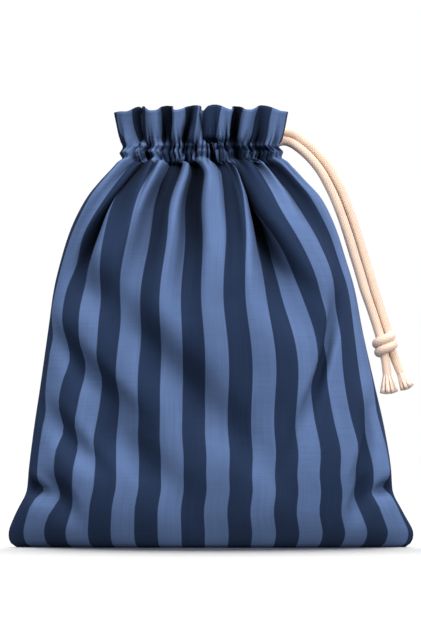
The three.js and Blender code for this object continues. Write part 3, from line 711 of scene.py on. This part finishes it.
def cloth_line(panel, height, fine=True):
    """One level in mm, gathered if fine: cloth width, x, distance out from the seam plane, hollowness."""
    across = np.linspace(0, CLOTH_WIDTH, WALK + 1)
    middle = (across[1:] + across[:-1]) / 2
    from_seam = np.minimum(across, CLOTH_WIDTH - across)
    firm, hem = smoothstep(from_seam, 0, FIRM_EDGE), smoothstep(from_seam, 0, HEM_EDGE)
    body_share, body_sunk = laid(body_angle(panel, middle, height))
    ruffle_share, ruffle_sunk = laid(ruffle_angle(panel, middle, height))
    above = sum(band_steps(height)) / 2
    x, out, run = oval(height)
    depth, sway = (field * hem for field in crease_fields(panel["creases"], across, height))
    place = np.clip((body_share + above * (ruffle_share - body_share)) * run[-1] + sway, 0, run[-1])
    room = np.clip(NECK_FOLD + FOLD_GROWTH * (NECK - height), NECK_FOLD, BODY_FOLD)
    sunk = np.maximum(-RIDGE_RISE, body_sunk + above * (ruffle_sunk - body_sunk))
    inward = kept_within(sunk, room - BAND_HOLD * in_band(height)) + depth
    if fine:
        drawn = place * BAND_ROUND / run[-1]
        inward -= (gathers(drawn, height, panel["seed"]) + pleats(drawn, height, panel["seed"])) * firm
    normal_x = np.interp(place, run, -np.gradient(out, run))
    normal_out = np.interp(place, run, np.gradient(x, run))
    length = np.hypot(normal_x, normal_out)
    line_x = np.interp(place, run, x) - inward * normal_x / length
    line_out = np.interp(place, run, out) - inward * normal_out / length
    small = unevenness(across, height, panel["seed"]) * firm
    turn_x, turn_out = np.gradient(line_x), np.gradient(line_out)
    length = np.hypot(turn_x, turn_out)
    line_x, line_out = line_x - small * turn_out / length, line_out + small * turn_x / length
    hollow = fold_shade(height) * hollowness(place, inward - small, SIDEWAYS) + CREASE_SHADE * depth
    return across, line_x, np.maximum(0, line_out), hollow


for height in (40, 120, 200, 228, 243.5, 262):
    across, x, out, hollow = cloth_line(PANELS["front_cloth"], height)
    walked = float(np.hypot(np.diff(x), np.diff(out)).sum())
    print("cloth at", height, "mm:", round(walked), "mm of", CLOTH_WIDTH)

# %% [markdown]
# ## The scalloped rim
# The ruffle's hem isn't level: it rises over the open folds and dips where the cloth is pinched. A row of
# bumps along the cloth does that, each with a middle, a width and a rise.

# %% The rim of the ruffle
RIM_LOW, RIM_RISE, RIM_ROUND = 270.4, 3.2, 1.5
PANELS["front_cloth"]["bumps"] = [
    (32, 24, 1), (60, 22, 1), (87.4, 26, 1), (119, 34, 0.9), (137, 10, -0.6), (163, 10, -0.6),
    (173, 26, 0.9), (199, 24, 0.8), (227.4, 28, 1),
]
PANELS["back_cloth"]["bumps"] = [
    (30, 26, 1), (59.4, 24, 0.8), (92, 20, 0.9), (112, 20, 0.9), (143.4, 24, 1), (176, 20, 0.8),
    (196, 20, 0.9), (227.4, 26, 1),
]


def rim_height(bumps, across):
    """The ruffle's scalloped rim, higher over each bump."""
    rim = np.full_like(across, RIM_LOW)
    for middle, width, rise in bumps:
        rim += RIM_RISE * rise * np.cos(np.pi * np.clip((across - middle) / width, -0.5, 0.5)) ** RIM_ROUND
    return rim


for name, panel in PANELS.items():
    rim = rim_height(panel["bumps"], cloth_places)
    print(name, "rim from", round(float(rim.min()), 1), "to", round(float(rim.max()), 1), "mm")

# %% [markdown]
# ## Rows from the floor to the rim
# A panel is a stack of such lines: along the floor from the bottom seam, up the body, through the band and
# up the ruffle. Even rows would waste points on the calm body, so they lie closer where the folds are
# small. Under the band the rows rise on the ridges and drop in the valleys, as the cloth bulges there.

# %% Rows of a panel
COLUMNS = 440
ROW_SPANS = [
    (0, 12, 6), (15, 30, 4), (32.5, 50, 8), (55, 180, 26), (183, 236.5, 24), (237.3, RUFFLE_FOOT, 24),
]
ROWS = np.concatenate([np.linspace(*span) for span in ROW_SPANS])
RUFFLE_SHARES = np.linspace(0.06, 1, 12)
BASE_SHARES = np.linspace(0, 0.7, 3)
LIP_RISE, LIP_DEPTH, LIP_REACH = 3.0, 10.0, 5.0
UPRIGHT_SHADE = 0.5


def panel_rows(panel, fine):
    """Rows of (x, out, z, across, along, hollow) for one panel, in mm, from the bottom seam to the rim."""
    pick = np.linspace(0, WALK, COLUMNS + 1)
    steps = np.arange(WALK + 1)
    lip = laid(body_angle(panel, (steps[1:] - 0.5) * CLOTH_WIDTH / WALK, BAND_LOW - BAND_FOOT))[1]
    lip = LIP_RISE * (0.5 - np.clip(np.interp(pick, steps, lip) / LIP_DEPTH, 0, 1))

    def row(height):
        return [np.interp(pick, steps, values) for values in cloth_line(panel, height, fine)]

    rows = []
    across, x, out, hollow = row(0)
    foot = float(out.max())
    for share in BASE_SHARES:
        rows.append((x, out * share, 0 * x, across, 0 * x + foot * (share - 1), hollow))
    for height in ROWS:
        across, x, out, hollow = row(height)
        z = height + lip * math.exp(-((height - BAND_LOW) / LIP_REACH) ** 2)
        rows.append((x, out, z, across, z, hollow))
    for share in RUFFLE_SHARES:
        across, x, out, hollow = row(RUFFLE_FOOT + share * (RIM_LOW - RUFFLE_FOOT))
        z = RUFFLE_FOOT + share * (rim_height(panel["bumps"], across) - RUFFLE_FOOT)
        rows.append((x, out, z, across, z, hollow))
    rows = np.array(rows)
    for _, out, z, _, _, hollow in rows[len(BASE_SHARES):].transpose(2, 1, 0):
        upright = UPRIGHT_SHADE * fold_shade(z) * hollowness(z, -out, UPRIGHT)
        hollow[:] = 1 - (1 - hollow) * (1 - upright)
    return rows


print("rows:", len(BASE_SHARES) + len(ROWS) + len(RUFFLE_SHARES), "of", COLUMNS + 1, "points")

# %% [markdown]
# ## The two panels
# Each panel is one cut of cloth. A solidify modifier could give the sheet its thickness, but it would push
# the tight folds through each other. So a second, inner layer follows the point normals and is joined to the
# outer one at every edge, and behind the gathers it keeps farther back. Above the band the panels are parted
# at both sides. Each point keeps its place on the flat cloth, so that stripes and weave follow the cloth.

# %% Build the panels
SHEET, SEAM_GAP = 0.8, 0.12
SLIT_LEFT, SLIT_RIGHT, SLIT_FOOT, SLIT_FULL = 1.2, 4.65, 245.6, 248.8
BACKED_FROM, BACKED_TO, BACKED_BY = (236, 241), (247, 252), 2.4


def sheet_face(panel, fine):
    """One face of a panel as a grid of places in mm, with its normals and its place on the flat cloth."""
    x, out, z, across, along, hollow = panel_rows(panel, fine).transpose(1, 0, 2)
    slit = SLIT_LEFT + (SLIT_RIGHT - SLIT_LEFT) * across / CLOTH_WIDTH
    parted = smoothstep(z, SLIT_FOOT, SLIT_FULL) * slit
    face = np.stack([x, panel["facing"] * (SEAM_GAP / 2 + parted + out), z], axis=-1)
    normal = np.cross(np.gradient(face, axis=1), np.gradient(face, axis=0))
    normal *= -panel["facing"] / np.maximum(np.linalg.norm(normal, axis=-1, keepdims=True), 1e-9)
    return face, normal, across, along, hollow


def panel_piece(name, panel):
    """A panel as a closed sheet, with its place on the flat cloth kept per point."""
    outer, normal, across, along, hollow = sheet_face(panel, True)
    plain, plain_normal, *_ = sheet_face(panel, False)
    z = plain[..., 2:]
    backed = smoothstep(z, *BACKED_FROM) * (1 - smoothstep(z, *BACKED_TO))
    dent = ((plain - outer) * plain_normal).sum(axis=-1, keepdims=True)
    behind = plain - np.maximum(BACKED_BY * SHEET, dent + SHEET) * plain_normal
    inner = (outer - SHEET * normal) * (1 - backed) + behind * backed
    inner[..., 1] = panel["facing"] * np.maximum(SEAM_GAP / 2, panel["facing"] * inner[..., 1])
    inner[..., 2] = np.maximum(inner[..., 2], np.minimum(SHEET, outer[..., 2] + SHEET))
    rows, columns = across.shape
    faces = grid_faces(rows, columns, False)
    count = rows * columns
    edge = np.concatenate([np.arange(columns), columns * np.arange(1, rows) + columns - 1,
                           count - 2 - np.arange(columns - 1), columns * np.arange(rows - 2, 0, -1)])
    ahead = np.roll(edge, -1)
    border = np.stack([ahead, edge, edge + count, ahead + count], axis=1)
    faces = np.concatenate([faces, faces[:, ::-1] + count, border])
    if panel["facing"] > 0:
        faces = faces[:, ::-1]
    points = np.concatenate([outer.reshape(-1, 3), inner.reshape(-1, 3)]) * MM
    # The hollowness goes with each point, for the painted shade of the cotton
    values = {"across": across, "along": along, "hollow": hollow}
    both_layers = {key: np.tile(grid.ravel(), 2) for key, grid in values.items()}
    return new_piece(name, points, faces.tolist(), both_layers)


for name, panel in PANELS.items():
    panel["piece"] = panel_piece(name, panel)

# %% [markdown]
# ## Flat cloth coordinates
# Each panel also gets a flat map of its cloth, the way a tailor would lay it out. The map lets anyone who
# takes the mesh elsewhere put another print on it. Both layers share the same map.

# %% Lay the cloth out flat
FLAT_LENGTH, FLAT_FOOT = 320.0, 40.0


def flat_map(piece):
    """A map of the piece from each point's place on the flat cloth."""
    mesh = piece.data
    count = len(mesh.vertices)
    across, along = np.empty(count, np.float32), np.empty(count, np.float32)
    mesh.attributes["across"].data.foreach_get("value", across)
    mesh.attributes["along"].data.foreach_get("value", along)
    corner = np.empty(len(mesh.loops), np.int32)
    mesh.loops.foreach_get("vertex_index", corner)
    flat = np.stack([across[corner] / CLOTH_WIDTH, (along[corner] + FLAT_FOOT) / FLAT_LENGTH], axis=1)
    mesh.uv_layers.new(name="OFBake").uv.foreach_set("vector", flat.astype(np.float32).ravel())


for panel in PANELS.values():
    flat_map(panel["piece"])
print("flat cloth:", CLOTH_WIDTH, "by", FLAT_LENGTH, "mm")

# %% [markdown]
# ## Wiring for the finishes
# Cotton and cord are finished with shader nodes. They could be placed by hand in the editor, but a script
# can be read and run again. A few short ways to add and join nodes keep the finishes readable.

# %% Short ways to add shader nodes
class Wiring:
    """Adds nodes to a node tree and joins them."""

    def __init__(self, tree):
        self.nodes, self.links = tree.nodes, tree.links

    def feed(self, sockets, values):
        """Give each socket that is named a number, a colour or another node's output."""
        for name, value in values.items():
            if isinstance(value, (int, float)):
                sockets[name].default_value = value
            elif isinstance(value, tuple):
                sockets[name].default_value = (*value, 1)
            elif value is not None:
                self.links.new(value, sockets[name])

    def add(self, kind, values, **settings):
        """A new node with its inputs and settings."""
        node = self.nodes.new("ShaderNode" + kind)
        for name, setting in settings.items():
            setattr(node, name, setting)
        self.feed(node.inputs, values)
        return node

    def calc(self, operation, first, second=None, clamp=False):
        """The result of a sum, a product or the like."""
        return self.add("Math", {0: first, 1: second}, operation=operation, use_clamp=clamp).outputs[0]

    def mix(self, factor, first, second, blend="MIX"):
        """Two colours mixed by a factor."""
        node = self.add("Mix", {0: factor}, data_type="RGBA", blend_type=blend)
        colours = [socket for socket in node.inputs if socket.type == "RGBA"]
        self.feed(colours, {0: first, 1: second})
        return next(socket for socket in node.outputs if socket.type == "RGBA")

    def tinted(self, colour, source, amount, start):
        """A colour multiplied by start, plus the amount for each unit of a source."""
        gain = self.calc("ADD", self.calc("MULTIPLY", source, amount), start)
        tint = self.add("CombineColor", {0: gain, 1: gain, 2: gain})
        return self.mix(1.0, colour, tint.outputs[0], "MULTIPLY")

    def attribute(self, name):
        """A value that the points carry."""
        return self.add("Attribute", {}, attribute_name=name).outputs["Fac"]

    def noise(self, vector, scale, detail):
        """Even noise, 0 to 1."""
        return self.add("TexNoise", {"Vector": vector, "Scale": scale, "Detail": detail}).outputs[0]

    def flat_noise(self, x, y, detail):
        """Noise over two stretched coordinates."""
        return self.noise(self.add("CombineXYZ", {0: x, 1: y}).outputs[0], 1.0, detail)

    def stepped(self, value, low, high):
        """A soft step of a value, 0 up to low and 1 from high on."""
        inputs = {"Value": value, "From Min": low, "From Max": high}
        return self.add("MapRange", inputs, interpolation_type="SMOOTHSTEP").outputs["Result"]

    def bumped(self, height, strength, distance):
        """Normals that follow a height."""
        inputs = {"Height": height, "Strength": strength, "Distance": distance}
        return self.add("Bump", inputs).outputs[0]

    def dress(self, values):
        """Feed the shader itself."""
        self.feed(self.nodes["Principled BSDF"].inputs, values)


def new_material(name):
    """A material with its wiring."""
    material = bpy.data.materials.new(name)
    material.use_nodes = True
    return material, Wiring(material.node_tree)


print("ways to add nodes:", [name for name in vars(Wiring) if not name.startswith("_")])

# %% [markdown]
# ## Striped cotton
# The cloth is a plain cotton weave with two blues in stripes of 14 mm. An image could be laid on it, but then
# stripes would be only as sharp as its pixels, so they are worked out from the place on the cloth. Yarns are
# never even: single ends run lighter or darker along the cloth, picks across it, and the whole has faint
# patches. Painted shade darkens the cloth in the hollows between the folds, towards the foot, and a little
# from the neck up. The weave is a fine bump, with a little sheen.

# %% Weave the striped cotton
STRIPE, FIRST_STRIPE_EDGE = 14.0, 10.4
LIGHT_BLUE = (0.098, 0.157, 0.313)
DARK_BLUE = (0.0178, 0.0325, 0.075)
EDGE_WIDTH, EDGE_FRAY = 0.5, 0.8
HOLLOW_POWER = 1.3
# Painted shade: darker towards the foot, and a little from the neck up
PAINTED_FOOT_SPAN, PAINTED_NECK_SPAN = (0.0, 60.0), (175.0, 225.0)
YARN_PITCH, PICK_BUMP = 0.62, 2.0
WEAVE_STRENGTH, WEAVE_DEPTH = 0.35, 0.00012
# Noise of the yarns: scale across, scale along, detail
UNEVEN_YARNS = {"ends": (1.9, 0.02, 2.0), "picks": (0.03, 1.7, 2.0), "patches": (0.035, 0.03, 3.0)}
# What lightens or darkens the cloth, uneven yarns and painted shade: amount, start
TINTS_AND_PAINTED_SHADE = {"ends": (0.42, 0.79), "picks": (0.3, 0.85), "patches": (0.4, 0.8), "hollows": (-0.95, 1.0),
         "foot": (0.36, 0.72), "neck": (-0.06, 1.0)}
COTTON = {"Roughness": 0.9, "Specular IOR Level": 0.06, "Sheen Weight": 0.02, "Sheen Roughness": 0.5,
          "Sheen Tint": (0.62, 0.72, 0.95)}


def striped_cotton():
    """Two blues in stripes, uneven yarns, painted shade in hollows and at foot and neck, a fine weave."""
    material, wiring = new_material("striped_cotton")
    calc = wiring.calc
    across, along = wiring.attribute("across"), wiring.attribute("along")
    sources = {}
    for name, (crosswise, lengthwise, detail) in UNEVEN_YARNS.items():
        x, y = calc("MULTIPLY", across, crosswise), calc("MULTIPLY", along, lengthwise)
        sources[name] = wiring.flat_noise(x, y, detail)
    # Painted shade from the hollowness of the folds, and from the height at the foot and the neck
    sources["hollows"] = calc("POWER", wiring.attribute("hollow"), HOLLOW_POWER)
    sources["foot"] = wiring.stepped(along, *PAINTED_FOOT_SPAN)
    sources["neck"] = wiring.stepped(along, *PAINTED_NECK_SPAN)
    # How far each place is off the middle of a light stripe, in repeats of two stripes
    repeat = calc("DIVIDE", calc("SUBTRACT", across, FIRST_STRIPE_EDGE), 2 * STRIPE)
    off_light = calc("ABSOLUTE", calc("SUBTRACT", calc("FRACT", calc("ADD", repeat, 0.25)), 0.5))
    edge = calc("ADD", calc("MULTIPLY", calc("SUBTRACT", off_light, 0.25), 2 * STRIPE / EDGE_WIDTH), 0.5)
    fray = calc("MULTIPLY", calc("SUBTRACT", sources["picks"], 0.5), EDGE_FRAY)
    colour = wiring.mix(calc("ADD", edge, fray, True), LIGHT_BLUE, DARK_BLUE)
    for name, (amount, start) in TINTS_AND_PAINTED_SHADE.items():
        colour = wiring.tinted(colour, sources[name], amount, start)
    turn = 2 * math.pi / YARN_PITCH
    warp, weft = (calc("SINE", calc("MULTIPLY", place, turn)) for place in (across, along))
    weave = calc("ADD", calc("MULTIPLY", warp, weft), calc("MULTIPLY", sources["picks"], PICK_BUMP))
    weave = wiring.bumped(weave, WEAVE_STRENGTH, WEAVE_DEPTH)
    wiring.dress({"Base Color": colour, "Normal": weave, **COTTON})
    return material


cotton_stripes = striped_cotton()
for panel in PANELS.values():
    panel["piece"].data.materials.append(cotton_stripes)
print("material:", cotton_stripes.name)

# %% [markdown]
# ## Cotton cord and frayed ends
# The cord is undyed cotton: cream on top of the braid, browner in its grooves by painted shade, with lighter
# and darker lengths. One even cream would look like plastic, so the braid's relief chooses between two. The
# frayed yarns are paler, since they are loose and let light through.

# %% Finish the cord
CORD_CREAM = (0.785, 0.605, 0.485)
# Painted shade: the cord's colour deep in its grooves
CORD_GROOVE_SHADE = (0.585, 0.39, 0.28)
FRAY_CREAM = (0.92, 0.76, 0.66)
FRAY_SHADE = (0.75, 0.585, 0.475)
GROOVE_SPAN = (0.15, 0.85)
LENGTHS_SCALE, LENGTHS_DETAIL, LENGTHS_AMOUNT, LENGTHS_START = 0.09, 2.0, 0.3, 0.85
FIBRE_SCALE, FIBRE_DETAIL, FIBRE_STRENGTH, FIBRE_DEPTH = 900, 3, 0.25, 0.0002
CORD = {"Roughness": 0.8, "Specular IOR Level": 0.25, "Sheen Weight": 0.2}


def undyed_cotton(name, top, groove_shade_and_dark_yarn):
    """Cream cotton with a bump of fine fibres, darker at low relief: painted groove shade, random dark yarns.
    """
    material, wiring = new_material(name)
    relief, along = wiring.attribute("relief"), wiring.attribute("along")
    fibre = wiring.noise(wiring.add("TexCoord", {}).outputs["Object"], FIBRE_SCALE, FIBRE_DETAIL)
    lengths = wiring.flat_noise(wiring.calc("MULTIPLY", along, LENGTHS_SCALE), relief, LENGTHS_DETAIL)
    # Low relief takes the darker colour: painted shade in the cord's grooves, a random tone on frayed yarns
    colour = wiring.mix(wiring.stepped(relief, *GROOVE_SPAN), groove_shade_and_dark_yarn, top)
    colour = wiring.tinted(colour, lengths, LENGTHS_AMOUNT, LENGTHS_START)
    fibre = wiring.bumped(fibre, FIBRE_STRENGTH, FIBRE_DEPTH)
    wiring.dress({"Base Color": colour, "Normal": fibre, **CORD})
    return material


cord_finish = undyed_cotton("cotton_cord", CORD_CREAM, CORD_GROOVE_SHADE)
fray_finish = undyed_cotton("frayed_cotton", FRAY_CREAM, FRAY_SHADE)
cords = [front_run, back_run, knot, *(tail["piece"] for tail in TAILS.values())]
tufts = [tail["tuft"] for tail in TAILS.values()]
for pieces, finish in ((cords, cord_finish), (tufts, fray_finish)):
    for piece in pieces:
        piece.data.materials.append(finish)
print("materials:", cord_finish.name, fray_finish.name)

# %% [markdown]
# ## Place in the frame
# Each piece is tied to the packed model: it rides on the pouch's one body and stands for its plain solid,
# which is hidden. The lengths of the two runs are printed.

def belongs(piece, slot, *nodes):
    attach(piece, "root")
    if nodes:
        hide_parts(*nodes)


for panel in PANELS.values():
    belongs(panel["piece"], "striped_cotton", panel["node"])
belongs(front_run, "cotton_cord", "cord_front")
belongs(back_run, "cotton_cord", "cord_back")
belongs(knot, "cotton_cord", "cord_knot")
for tail in TAILS.values():
    belongs(tail["piece"], "cotton_cord", tail["node"])
    belongs(tail["tuft"], "frayed_cotton")

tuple(FRONT_RUN[0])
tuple(BACK_RUN[0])
print("runs:", round(front_length, 4), "and", round(back_length, 4), "m")

# %% [markdown]
# ## The floor
# The pouch stands on a white floor before a white background. Its bounce is turned off, because it would
# brighten the foot of the pouch, which stays dark.

# %% Lay the floor
FLOOR_REACH = 8.0
FLOOR_WHITE = {"Base Color": (0.95, 0.95, 0.95), "Roughness": 0.9, "Specular IOR Level": 0.0}


def floor_piece():
    """A wide white floor that belongs to the stage."""
    mesh = bpy.data.meshes.new("floor")
    corners = [(x * FLOOR_REACH, y * FLOOR_REACH, 0) for x, y in ((-1, -1), (1, -1), (1, 1), (-1, 1))]
    mesh.from_pydata(corners, [], [(0, 1, 2, 3)])
    material, wiring = new_material("white_floor")
    wiring.dress(FLOOR_WHITE)
    mesh.materials.append(material)
    floor = bpy.data.objects.new("floor", mesh)
    floor.visible_diffuse = False
    bpy.context.scene.collection.objects.link(floor)
    floor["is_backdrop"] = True
    return floor


floor = floor_piece()
print("floor:", 2 * FLOOR_REACH, "m wide")

# %% [markdown]
# ## Light
# Two soft suns light the pouch from the left and the right front, one from above picks out the ridges, and a
# weak one fills the back. A lamp behind on the right brightens the cord's edge, and a small one fills the
# cord from below. One light for all would be simpler, but a white floor would then leave the cloth too pale.
# So a sun from behind lights the floor alone, with a short shadow in front.

# %% Set the lights
ROOM_LIGHT = 0.1


def light(name, kind, place, target, size, power):
    """A sun, as soft as the angle that it fills, or a round lamp that the camera doesn't see."""
    data = bpy.data.lights.new(name, kind)
    data.energy = power
    if kind == "SUN":
        data.angle = math.radians(size)
    else:
        data.shape = "DISK"
        data.size = size
    item = bpy.data.objects.new(name, data)
    item.visible_camera = False
    item.location = place
    item.rotation_euler = (Vector(target) - Vector(place)).to_track_quat("-Z", "Y").to_euler()
    bpy.context.scene.collection.objects.link(item)
    return item


def lit_group(name, pieces):
    """A collection of pieces for lights to name."""
    group = bpy.data.collections.new(name)
    for piece in pieces:
        group.objects.link(piece)
    return group


all_but_floor, only_floor = lit_group("all_but_floor", [floor]), lit_group("only_floor", [floor])
only_cord = lit_group("only_cord", cords + tufts)
all_but_floor.collection_objects[0].light_linking.link_state = "EXCLUDE"
# The lights of each group: name, kind, place, target, size or angle, power
LIGHTS = {
    all_but_floor: [
        ("key_left", "SUN", (-1.0, -1.1, 1.2), (0, 0, 0), 30, 1.95),
        ("key_right", "SUN", (1.0, -1.1, 0.9), (0, 0, 0), 30, 2.85),
        ("back_soft", "SUN", (0.4, 1.2, 0.7), (0, 0, 0), 60, 1.2),
        ("top", "SUN", (0.0, -0.25, 1.0), (0, 0, 0), 40, 2.2),
        ("edge", "AREA", (1.3, 0.7, 0.9), (0.08, 0, 0.18), 0.5, 9),
    ],
    only_cord: [("cord_fill", "AREA", (0.14, -0.12, 0.01), (0.112, 0, 0.13), 0.2, 0.13)],
    only_floor: [("floor_wash", "SUN", (0.0, 0.9, 1.6), (0, 0, 0), 40, 3.7)],
}
for group, rows in LIGHTS.items():
    for row in rows:
        light(*row).light_linking.receiver_collection = group

world = bpy.data.worlds.new("white_room")
world.use_nodes = True
wiring = Wiring(world.node_tree)
seen = wiring.add("LightPath", {}).outputs["Is Camera Ray"]
strength = wiring.calc("MAXIMUM", seen, ROOM_LIGHT)
wiring.feed(wiring.nodes["Background"].inputs, {"Color": (1, 1, 1), "Strength": strength})
bpy.context.scene.world = world
bpy.context.scene.view_settings.view_transform = "Standard"
print("lamps:", [item.name for item in bpy.data.lights])

# %% [markdown]
# ## Sizes at the end
# The dressed pouch has to keep the plain model's size. Both boxes are printed, so that they can be
# compared.

# %% Print the sizes and finish
visual_box = [list(corner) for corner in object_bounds()]
print("dressed box in mm:", [[round(v / MM, 1) for v in corner] for corner in visual_box])
